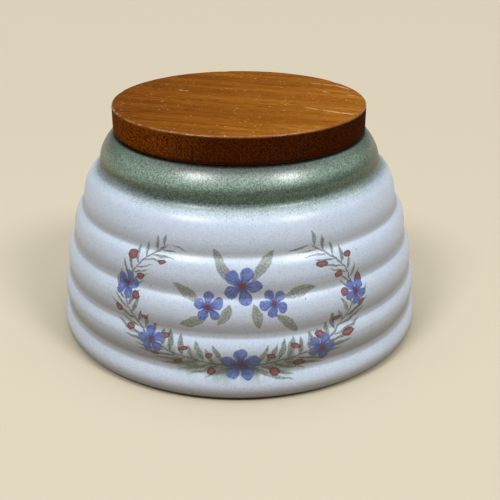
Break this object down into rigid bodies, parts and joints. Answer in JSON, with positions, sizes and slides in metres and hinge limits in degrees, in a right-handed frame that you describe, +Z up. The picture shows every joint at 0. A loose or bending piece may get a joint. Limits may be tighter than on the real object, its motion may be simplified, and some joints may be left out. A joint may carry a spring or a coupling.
{
  "type": "lidded storage pot",
  "caption": "Squat stoneware pot with a ribbed, swelling wall, and a flat round wooden lid with a sealed spigot that drops into the mouth and lifts off.",
  "frame": {"origin": "centre of the foot ring, on the surface that the pot stands on", "axes": "+Z up along the pot's axis, -Y towards the painted front, +X to the right seen from the front"},
  "size_m": [0.121, 0.121, 0.0749],
  "materials": {
    "stoneware": "satin white glaze with fine speckle and a green shoulder",
    "lid_wood": "oiled reddish hardwood with open pores",
    "spigot_wood": "oiled reddish hardwood",
    "seal": "soft translucent off-white",
    "screw_brass": "dulled brass"
  },
  "bodies": {
    "pot": {"pot_body": "stoneware"},
    "seal": {"seal_ring": "seal"},
    "lid": {"lid_board": "lid_wood", "lid_spigot": "spigot_wood", "spigot_screws": "screw_brass"}
  },
  "joints": [
    {"name": "lid_lift", "type": "slide", "parent": "pot", "child": "seal", "axis": [0, 0, 1], "range_m": [0, 0.1]},
    {"name": "lid_turn", "type": "hinge", "parent": "seal", "child": "lid", "pos_m": [0, 0, 0.066], "axis": [0, 0, 1], "continuous": true}
  ]
}
